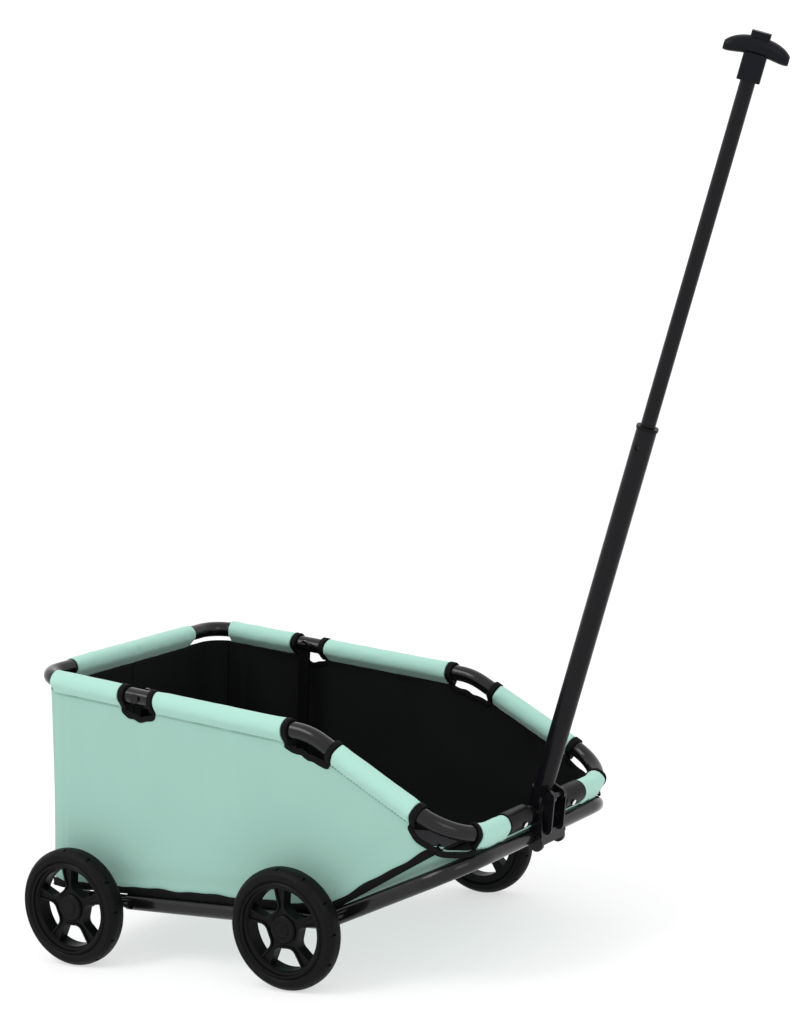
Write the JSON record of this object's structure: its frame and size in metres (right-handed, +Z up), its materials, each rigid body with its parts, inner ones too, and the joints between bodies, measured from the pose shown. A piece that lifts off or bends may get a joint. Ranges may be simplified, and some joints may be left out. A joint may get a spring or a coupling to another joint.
{
  "type": "folding pull cart",
  "caption": "Folding pull cart: a fabric basket on a bent tube rim and wheeled tube base, with a tilting, telescoping T handle.",
  "frame": {"origin": "on the ground under the middle of the cart's overall length and width", "axes": "+X forward, towards the handle; +Y left; +Z up"},
  "size_m": [0.8436, 0.4048, 0.9006],
  "materials": {
    "frame_paint": "glossy black powder coat",
    "handle_paint": "satin black enamel",
    "bracket_paint": "glossy black enamel",
    "wheel_plastic": "satin black moulded plastic",
    "tyre": "black rubber",
    "mint_cloth": "mint green woven polyester",
    "binding": "black ribbed binding tape",
    "steel": "zinc plated",
    "stay_steel": "black enamel",
    "board": "dark grey pressed board",
    "fitting_plastic": "black nylon",
    "grip_plastic": "satin black moulded plastic"
  },
  "bodies": {
    "base": {"base_front_tube": "frame_paint", "base_rear_tube": "frame_paint", "front_axle": "steel", "rear_axle": "steel", "axle_nuts": "steel", "axle_spacers": "fitting_plastic", "stay_rivets": "steel", "bracket_bolt": "steel", "handle_clevis": "bracket_paint", "handle_pin": "steel", "floor_board": "board", "basket_floor": "mint_cloth", "basket_rear": "mint_cloth", "basket_front": "mint_cloth", "basket_side_left": "mint_cloth", "basket_side_right": "mint_cloth", "bracket_cheek_left": "bracket_paint", "bracket_cheek_right": "bracket_paint"},
    "rim": {"rim_tube": "frame_paint", "rim_rivets": "steel", "rim_cross_sleeves": "mint_cloth", "sleeve_collars": "binding", "rim_fitting_left": "fitting_plastic", "rim_fitting_right": "fitting_plastic", "rim_side_sleeves_left": "mint_cloth", "rim_side_sleeves_right": "mint_cloth"},
    "left_stay": {"stay_left": "stay_steel"},
    "right_stay": {"stay_right": "stay_steel"},
    "handle": {"handle_foot": "bracket_paint", "foot_rivet": "steel", "handle_outer_tube": "handle_paint", "tube_bush": "fitting_plastic"},
    "slider": {"handle_inner_tube": "handle_paint", "slide_guide": "fitting_plastic", "grip_socket": "grip_plastic", "grip": "grip_plastic"},
    "button": {"push_button": "grip_plastic", "release_rod": "steel"},
    "lock": {"lock_pin": "steel"},
    "front_left_wheel": {"wheel_rim_front_left": "wheel_plastic", "tyre_front_left": "tyre", "hub_cap_front_left": "wheel_plastic"},
    "front_right_wheel": {"wheel_rim_front_right": "wheel_plastic", "tyre_front_right": "tyre", "hub_cap_front_right": "wheel_plastic"},
    "rear_left_wheel": {"wheel_rim_rear_left": "wheel_plastic", "tyre_rear_left": "tyre", "hub_cap_rear_left": "wheel_plastic"},
    "rear_right_wheel": {"wheel_rim_rear_right": "wheel_plastic", "tyre_rear_right": "tyre", "hub_cap_rear_right": "wheel_plastic"}
  },
  "joints": [
    {"name": "rim_fold", "type": "hinge", "parent": "base", "child": "rim", "pos_m": [0.10621, 0, 0.1525], "axis": [0, -1, 0], "range_deg": [0, 23], "deforming": ["basket_side_left", "basket_side_right", "basket_rear"]},
    {"name": "left_stay_fold", "type": "hinge", "parent": "base", "child": "left_stay", "pos_m": [-0.30179, 0.1435, 0.0625], "axis": [0, 1, 0], "range_deg": [0, 75]},
    {"name": "right_stay_fold", "type": "hinge", "parent": "base", "child": "right_stay", "pos_m": [-0.30179, -0.1435, 0.0625], "axis": [0, 1, 0], "range_deg": [0, 75]},
    {"name": "handle_tilt", "type": "hinge", "parent": "base", "child": "handle", "pos_m": [0.12471, 0, 0.166], "axis": [0, -1, 0], "range_deg": [-58, 90]},
    {"name": "handle_slide", "type": "slide", "parent": "handle", "child": "slider", "axis": [0.3707, 0, 0.9287], "range_m": [-0.33, 0]},
    {"name": "grip_button", "type": "slide", "parent": "slider", "child": "button", "axis": [0.3707, 0, 0.9287], "range_m": [-0.004, 0], "stiffness_N_per_m": 300, "springref_m": 0.003},
    {"name": "lock_release", "type": "slide", "parent": "slider", "child": "lock", "axis": [0, 1, 0], "range_m": [0, 0.002]},
    {"name": "front_left_wheel_spin", "type": "hinge", "parent": "base", "child": "front_left_wheel", "pos_m": [-0.08429, 0.1905, 0.0625], "axis": [0, 1, 0], "continuous": true},
    {"name": "front_right_wheel_spin", "type": "hinge", "parent": "base", "child": "front_right_wheel", "pos_m": [-0.08429, -0.1905, 0.0625], "axis": [0, 1, 0], "continuous": true},
    {"name": "rear_left_wheel_spin", "type": "hinge", "parent": "base", "child": "rear_left_wheel", "pos_m": [-0.35929, 0.1905, 0.0625], "axis": [0, 1, 0], "continuous": true},
    {"name": "rear_right_wheel_spin", "type": "hinge", "parent": "base", "child": "rear_right_wheel", "pos_m": [-0.35929, -0.1905, 0.0625], "axis": [0, 1, 0], "continuous": true}
  ],
  "couplings": [
    {"joint": "left_stay_fold", "follows": "rim_fold", "ratio": 3.26},
    {"joint": "right_stay_fold", "follows": "rim_fold", "ratio": 3.26},
    {"joint": "lock_release", "follows": "grip_button", "ratio": -0.5}
  ]
}
